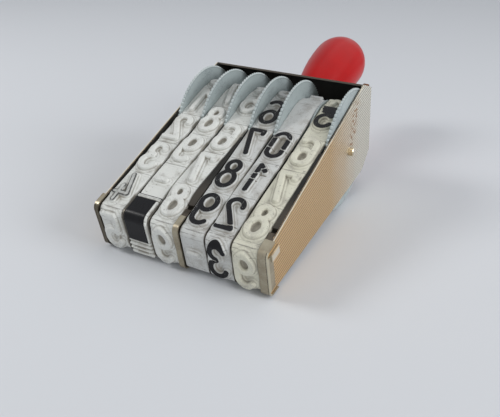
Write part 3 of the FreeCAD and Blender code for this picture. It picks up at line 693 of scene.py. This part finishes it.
def numberBand(index, settings):
    shape = reliefShape
    wheelLow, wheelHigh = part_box("wheel_%d" % (index + 1))
    pickNothing()
    bpy.ops.mesh.primitive_grid_add(x_subdivisions=shape["stepAcross"],
                                    y_subdivisions=shape["stepAlong"],
                                    size=1, location=(0, 0, 0))
    band = bpy.context.active_object
    band.name = "NumberBand%d" % (index + 1)
    bpy.ops.object.mode_set(mode="EDIT")
    bpy.ops.mesh.select_all(action="DESELECT")
    bpy.ops.mesh.select_mode(type="EDGE")

    def pickEdges(test):
        grid = bmesh.from_edit_mesh(band.data)
        for edge in grid.edges:
            edge.select = all(test(vertex.co) for vertex in edge.verts)
        bmesh.update_edit_mesh(band.data)

    # both long edges go down as the side walls and are bridged below as the inner surface
    pickEdges(lambda co: abs(co.x) > 0.4999)
    bpy.ops.mesh.extrude_region_move(TRANSFORM_OT_translate={"value": (0, 0, -1)})
    pickEdges(lambda co: co.z < -0.9)
    bpy.ops.mesh.bridge_edge_loops()
    bpy.ops.object.mode_set(mode="OBJECT")

    mesh = band.data
    flat = np.empty(len(mesh.vertices) * 3, np.float32)
    mesh.vertices.foreach_get("co", flat)
    flat = flat.reshape(-1, 3).astype(float)
    across = flat[:, 0] * loop["width"]
    travel = flat[:, 1] * loopLength
    top = flat[:, 2] > -0.5

    rows, columns = shape["stepAlong"] + 1, shape["stepAcross"] + 1
    gridX, gridT = np.meshgrid(np.linspace(-0.5, 0.5, columns) * loop["width"],
                               np.linspace(-0.5, 0.5, rows) * loopLength)
    height, distance, ink, hole = bandRelief(settings, gridX, gridT)
    # how far each point lies below its surroundings, more in the counters; it sets the painted
    # shade in the recesses
    cavity = (blurred(height, shape["blurRounds"]) - height) / 0.9
    cavity = np.clip(cavity + 0.45 * hole * ramp(distance, 1.6, 2.4), 0, 1)
    column = np.rint((flat[:, 0] + 0.5) * (columns - 1)).astype(int)
    row = np.rint((flat[:, 1] + 0.5) * (rows - 1)).astype(int)
    tall = np.where(top, height[row, column], 0.0)
    marks = np.stack([np.where(top, distance[row, column], shape["far"]),
                      np.where(top, ink[row, column], 0.0),
                      np.where(top, cavity[row, column], 0.3)], axis=1)
    places = np.stack([across, travel, tall], axis=1)

    y, z = loopPlace(travel, tall)
    # the last band's disc is on its right, the others' on their left
    wheelX = (wheelLow.x + wheelHigh.x) / 2 / mm
    gap = shape["sideGap"] if index < len(bandSettings) - 1 else -shape["sideGap"]
    x = across + acrossShift(settings, wheelX + gap, z)
    lifted = z - loop["wheelHeight"]
    final = (np.array(axleCentre)[None, :]
             + mm * (np.outer(x, (1, 0, 0)) + np.outer(y, towardRear)
                     + np.outer(lifted, towardHandle)))
    corner = np.empty(len(mesh.loops), np.int32)
    mesh.loops.foreach_get("vertex_index", corner)
    for label, values in (("bandPlace", places), ("bandMark", marks)):
        layer = mesh.attributes.new(label, "FLOAT_VECTOR", "CORNER")
        layer.data.foreach_set("vector", values[corner].astype(np.float32).ravel())
    mesh.vertices.foreach_set("co", final.astype(np.float32).ravel())
    mesh.update()

    bpy.ops.object.mode_set(mode="EDIT")
    bpy.ops.mesh.select_all(action="SELECT")
    bpy.ops.mesh.remove_doubles(threshold=mergeDistance)
    bpy.ops.mesh.normals_make_consistent(inside=False)
    bpy.ops.object.mode_set(mode="OBJECT")
    pickAlone(band)
    bpy.ops.object.shade_smooth_by_angle(angle=math.radians(62))
    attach(band, "root")
    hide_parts("number_band_%d" % (index + 1))
    "cream_rubber" if settings["tone"] == "cream" else "white_rubber"
    return band


print("moulding the number bands")
tones = {"white": (tint(210, 212, 209), 0.3), "grey": (tint(196, 198, 197), 0.45),
         "cream": (tint(206, 205, 190), 0.35)}
for bandIndex, bandSetting in enumerate(bandSettings):
    band = numberBand(bandIndex, bandSetting)
    bandTone, bandSoil = tones[bandSetting["tone"]]
    band.data.materials.append(rubberFinish("BandRubber%d" % (bandIndex + 1), bandTone, bandSoil,
                                            bandSetting["turn"]))


# the knob

knobShape = {"offset": 4.0, "foot": 151.5, "length": 78.4, "radius": 18.8, "endLength": 22.6,
             "tipRadius": 16.0, "neckRadius": 8.5, "arcPoints": 20, "steps": 96}


def knobProfile(shape):
    # (radius, height) up the side of the knob, the same arcs as its solid
    foot = shape["foot"]
    end = foot + shape["length"]
    widest = end - shape["endLength"]
    drop = shape["radius"] - shape["neckRadius"]
    bodyRadius = (drop ** 2 + (widest - foot) ** 2) / (2 * drop)
    tipZ = end - shape["tipRadius"]
    tipStep = tipZ - widest
    sideRadius = ((shape["radius"] ** 2 + tipStep ** 2 - shape["tipRadius"] ** 2)
                  / (2 * (shape["radius"] - shape["tipRadius"])))
    tipAngle = math.atan2(tipStep, sideRadius - shape["radius"])
    bodyAngle = math.asin((widest - foot) / bodyRadius)
    points = []
    for centreX, centreZ, radius, start, stop in (
            (shape["radius"] - bodyRadius, widest, bodyRadius, -bodyAngle, 0),
            (shape["radius"] - sideRadius, widest, sideRadius, 0, tipAngle),
            (0, tipZ, shape["tipRadius"], tipAngle, math.pi / 2)):
        for angle in np.linspace(start, stop, shape["arcPoints"])[:-1]:
            points.append((centreX + radius * math.cos(angle), centreZ + radius * math.sin(angle)))
    return [(0.0, foot)] + points + [(0.0, end)]


def turnedPiece(name, profile, middleX, steps):
    # one point is extruded along the profile and the profile is spun about the stud's line
    pickNothing()
    bpy.ops.mesh.primitive_plane_add(size=0.001, location=(0, 0, 0))
    piece = bpy.context.active_object
    piece.name = name
    bpy.ops.object.mode_set(mode="EDIT")
    bpy.ops.mesh.select_mode(type="VERT")
    bpy.ops.mesh.select_all(action="SELECT")
    bpy.ops.mesh.merge(type="CENTER")
    places = [placeOf(middleX + radius, 0, z) for radius, z in profile]
    bpy.ops.transform.translate(value=places[0])
    for before, after in zip(places, places[1:]):
        bpy.ops.mesh.extrude_region_move(TRANSFORM_OT_translate={"value": after - before})
    bpy.ops.mesh.select_all(action="SELECT")
    bpy.ops.mesh.spin(steps=steps, angle=math.tau, center=placeOf(middleX, 0, 0),
                      axis=towardHandle)
    bpy.ops.mesh.select_all(action="SELECT")
    bpy.ops.mesh.remove_doubles(threshold=mergeDistance)
    bpy.ops.mesh.normals_make_consistent(inside=False)
    bpy.ops.object.mode_set(mode="OBJECT")
    pickAlone(piece)
    bpy.ops.object.shade_smooth_by_angle(angle=math.radians(40))
    return piece


print("turning the knob")
knob = turnedPiece("RedKnob", knobProfile(knobShape), knobShape["offset"], knobShape["steps"])
knob.data.materials.append(lacquerFinish())
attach(knob, "root")
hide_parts("handle_knob")


# finishes on the CAD nodes

print("finishing the metal and plastic parts")
nodeFinishes = [
    (frameFinish(), ["frame"]),
    (wheelFinish(), ["wheel_%d" % number for number in range(1, 7)]),
    (guideFinish(), ["front_guide_plate", "rear_guide_plate"]),
    (metalFinish("StrapSteel", tint(172, 164, 144), tint(138, 127, 108), 0.34, 0.8, 0.5,
                 strapMarks),
     ["left_strap", "centre_strap", "right_strap"]),
    (metalFinish("DividerSteel", tint(112, 108, 100), tint(66, 60, 54), 0.42),
     ["band_divider_%d" % number for number in range(1, 5)]),
    (metalFinish("BrightSteel", tint(226, 220, 204), tint(190, 176, 146), 0.2),
     ["axle", "left_washer", "right_washer", "handle_stud"]),
    (metalFinish("BrownRivet", tint(110, 74, 52), tint(70, 44, 32), 0.4), ["corner_rivets"]),
    (metalFinish("CollarMetal", tint(196, 190, 178), tint(160, 150, 132), 0.26),
     ["handle_collar"]),
    (metalFinish("BridgeSheet", tint(96, 88, 78), tint(60, 54, 48), 0.45), ["bridge"]),
]
for nodeFinish, nodes in nodeFinishes:
    for node in nodes:
        part = frame["nodes"][node]
        part.data.materials.clear()
        part.data.materials.append(nodeFinish)


# stage, lights and camera

print("setting the stage")

pickNothing()
bpy.ops.mesh.primitive_plane_add(size=12, location=(0, 0, 0))
floor = bpy.context.active_object
floor.name = "Floor"
floor.data.materials.append(Finish("PaleFloor", tint(208, 211, 216), 0.75).material)

lampSettings = {
    "KeyLamp": {"place": (-0.76, -0.36, 0.72), "size": 0.35, "power": 4.6,
                "color": (1.0, 0.99, 0.97)},
    "TopLamp": {"place": (0.3, 0.6, 1.0), "size": 1.4, "power": 3.4, "color": (1.0, 1.0, 1.0)},
    # a narrow beam keeps the floor under this low lamp from burning out
    "FillLamp": {"place": (1.32, 0.0, 0.66), "size": 0.8, "power": 2.15,
                 "color": (0.99, 0.99, 1.0), "spread": 70.0},
    "FrontLamp": {"place": (0.85, -1.0, 0.42), "size": 0.8, "power": 4.2,
                  "color": (1.0, 0.97, 0.9)},
}
for lampName, lampSetting in lampSettings.items():
    lamp = bpy.data.objects.new(lampName, bpy.data.lights.new(lampName, "AREA"))
    bpy.context.scene.collection.objects.link(lamp)
    lamp.data.energy = lampSetting["power"]
    lamp.data.size = lampSetting["size"]
    lamp.data.color = lampSetting["color"]
    lamp.data.spread = math.radians(lampSetting.get("spread", 180.0))
    lamp.location = lampSetting["place"]
    lamp.rotation_mode = "QUATERNION"
    lamp.rotation_quaternion = (-Vector(lampSetting["place"])).to_track_quat("-Z", "Y")

# what is seen or mirrored of the room is brighter than what lights the stamp
roomSettings = {"color": (0.88, 0.91, 0.95, 1), "lighting": 0.33, "seen": 0.7}
world = bpy.data.worlds.new("SoftRoom")
bpy.context.scene.world = world
world.use_nodes = True
worldNodes, worldLinks = world.node_tree.nodes, world.node_tree.links
backdrop = worldNodes["Background"]
backdrop.inputs["Color"].default_value = roomSettings["color"]
rays = worldNodes.new("ShaderNodeLightPath")
seen = rays.outputs["Is Camera Ray"]
for label in ("Is Glossy Ray", "Is Transmission Ray"):
    either = worldNodes.new("ShaderNodeMath")
    either.operation = "MAXIMUM"
    worldLinks.new(seen, either.inputs[0])
    worldLinks.new(rays.outputs[label], either.inputs[1])
    seen = either.outputs[0]
level = worldNodes.new("ShaderNodeMapRange")
level.inputs["To Min"].default_value = roomSettings["lighting"]
level.inputs["To Max"].default_value = roomSettings["seen"]
worldLinks.new(seen, level.inputs["Value"])
worldLinks.new(level.outputs["Result"], backdrop.inputs["Strength"])

cameraShape = {"place": (146.7, -202.1, -165.5), "look": (-0.4048, 0.63915, 0.65401),
               "up": (-0.2333, -0.76368, 0.60188), "lens": 43.2, "sensor": 36.0}
camera = bpy.data.objects.new("Camera", bpy.data.cameras.new("Camera"))
bpy.context.scene.collection.objects.link(camera)
look = turned(cameraShape["look"]).normalized()
up = turned(cameraShape["up"]).normalized()
right = look.cross(up).normalized()
up = right.cross(look)
camera.matrix_world = Matrix.Translation(placeOf(*cameraShape["place"])) @ Matrix((
    (right.x, up.x, -look.x), (right.y, up.y, -look.y), (right.z, up.z, -look.z))).to_4x4()
camera.data.sensor_width = cameraShape["sensor"]
camera.data.lens = cameraShape["lens"]
camera.data.clip_start = 0.01
bpy.context.scene.camera = camera
bpy.context.scene.view_settings.view_transform = "Standard"
